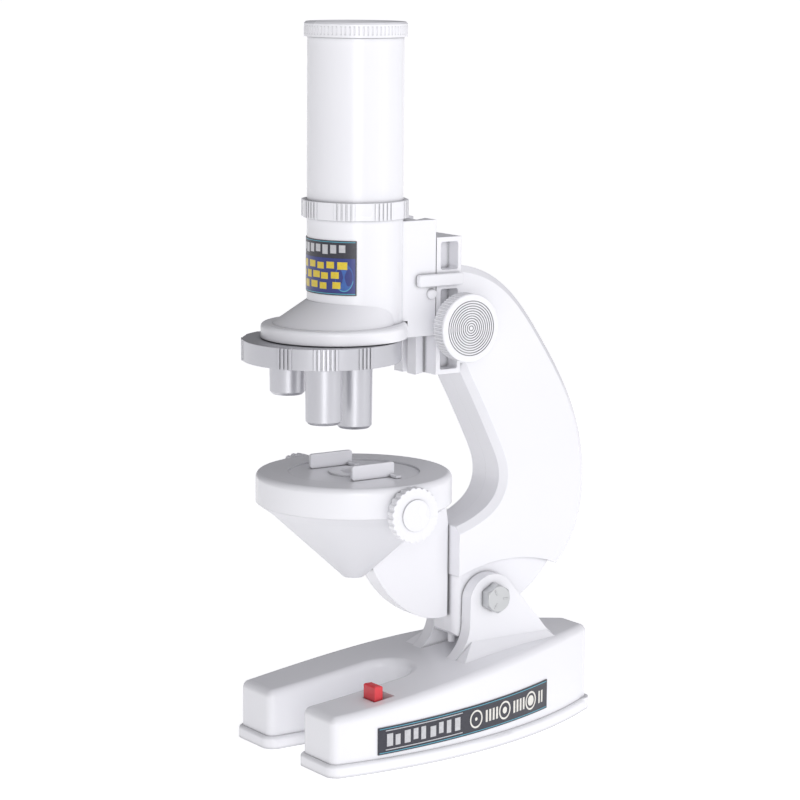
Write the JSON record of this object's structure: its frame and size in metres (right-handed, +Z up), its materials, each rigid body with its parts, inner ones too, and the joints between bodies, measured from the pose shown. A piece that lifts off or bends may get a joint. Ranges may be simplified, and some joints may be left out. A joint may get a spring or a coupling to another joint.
{
  "type": "toy microscope",
  "caption": "Upright children's microscope with a horseshoe base, tilting C-arm, rack-and-pinion focus, rotating turret, drum stage with flip mirror and lamp, and a ribbed eyepiece tube.",
  "frame": {"origin": "on the surface it stands on, straight below the tilt hinge, midway between the hinge ears", "axes": "+Z up along the optical axis, -Y towards the tips of the base's two legs and the turret's front, +Y towards the heel, +X towards the side with the switch and the hinge bolt's head"},
  "size_m": [0.07, 0.1278, 0.2295],
  "materials": {
    "white_plastic": "gloss",
    "frosted_plastic": "satin",
    "silver_plastic": "satin metallic paint",
    "red_plastic": "gloss",
    "dark_plastic": "matte",
    "label_film": "printed film",
    "steel": "zinc plated",
    "battery_can": "gloss",
    "lens_glass": "clear",
    "lamp_glass": "clear",
    "mirror_glass": "polished"
  },
  "bodies": {
    "base": {"base_label": "label_film", "base_plate": "white_plastic", "base_screw_1": "steel", "base_screw_2": "steel", "base_screw_3": "steel", "base_screw_4": "steel", "base_shell": "white_plastic", "battery_contact_front": "steel", "battery_contact_rear": "steel", "battery_door": "white_plastic", "battery_left": "battery_can", "battery_right": "battery_can", "hinge_bolt": "steel", "hinge_nut": "steel", "switch_body": "dark_plastic"},
    "switch": {"switch_slider": "red_plastic"},
    "arm": {"arm_left": "white_plastic", "arm_right": "white_plastic", "arm_screw_1": "steel", "arm_screw_2": "steel", "arm_screw_3": "steel", "foot_peg": "white_plastic", "height_stop": "white_plastic", "lamp_bulb": "lamp_glass", "lamp_holder": "dark_plastic", "stage_bracket": "white_plastic", "stage_cone": "frosted_plastic", "stage_disc": "white_plastic", "stage_screw_1": "steel", "stage_screw_2": "steel"},
    "clip_right": {"stage_clip_right": "white_plastic"},
    "clip_left": {"stage_clip_left": "white_plastic"},
    "mirror": {"mirror_shaft": "white_plastic", "mirror_glass": "mirror_glass", "stage_knob_right": "white_plastic", "stage_knob_left": "white_plastic"},
    "focus": {"focus_shaft": "steel", "focus_knob_right": "white_plastic", "focus_knob_left": "white_plastic"},
    "carriage": {"lower_barrel": "white_plastic", "nosepiece_cover": "white_plastic", "rack": "white_plastic", "barrel_label": "label_film", "turret_screw": "steel"},
    "tube": {"tube_collar": "white_plastic", "eyepiece_tube": "white_plastic"},
    "eyepiece": {"eyepiece_cap": "white_plastic", "eye_lens": "lens_glass"},
    "turret": {"turret_disc": "silver_plastic", "objective_lens_long": "lens_glass", "objective_lens_medium": "lens_glass", "objective_lens_short": "lens_glass", "objective_long": "silver_plastic", "objective_medium": "silver_plastic", "objective_short": "silver_plastic"}
  },
  "joints": [
    {"name": "switch_slide", "type": "slide", "parent": "base", "child": "switch", "axis": [0, 1, 0], "range_m": [0, 0.004]},
    {"name": "arm_tilt", "type": "hinge", "parent": "base", "child": "arm", "pos_m": [0, 0, 0.0448], "axis": [-1, 0, 0], "range_deg": [0, 40]},
    {"name": "focus_slide", "type": "slide", "parent": "arm", "child": "carriage", "axis": [0, 0, 1], "range_m": [-0.01, 0]},
    {"name": "focus_knob", "type": "hinge", "parent": "arm", "child": "focus", "pos_m": [0, -0.0156, 0.1346], "axis": [1, 0, 0], "range_deg": [0, 144]},
    {"name": "mirror_flip", "type": "hinge", "parent": "arm", "child": "mirror", "pos_m": [0, -0.046, 0.0808], "axis": [1, 0, 0], "continuous": true},
    {"name": "clip_right_swing", "type": "hinge", "parent": "arm", "child": "clip_right", "pos_m": [0.0154, -0.0401, 0.0878], "axis": [0, 0, 1], "range_deg": [-18, 18]},
    {"name": "clip_left_swing", "type": "hinge", "parent": "arm", "child": "clip_left", "pos_m": [-0.0086, -0.0401, 0.0878], "axis": [0, 0, 1], "range_deg": [-18, 18]},
    {"name": "tube_turn", "type": "hinge", "parent": "carriage", "child": "tube", "pos_m": [0, -0.046, 0.17], "axis": [0, 0, 1], "continuous": true},
    {"name": "eyepiece_turn", "type": "hinge", "parent": "tube", "child": "eyepiece", "pos_m": [0, -0.046, 0.225], "axis": [0, 0, 1], "continuous": true},
    {"name": "turret_turn", "type": "hinge", "parent": "carriage", "child": "turret", "pos_m": [0, -0.05806, 0.13], "axis": [0, 0, 1], "continuous": true}
  ],
  "couplings": [
    {"joint": "focus_knob", "follows": "focus_slide", "rad_per_m": -250}
  ]
}
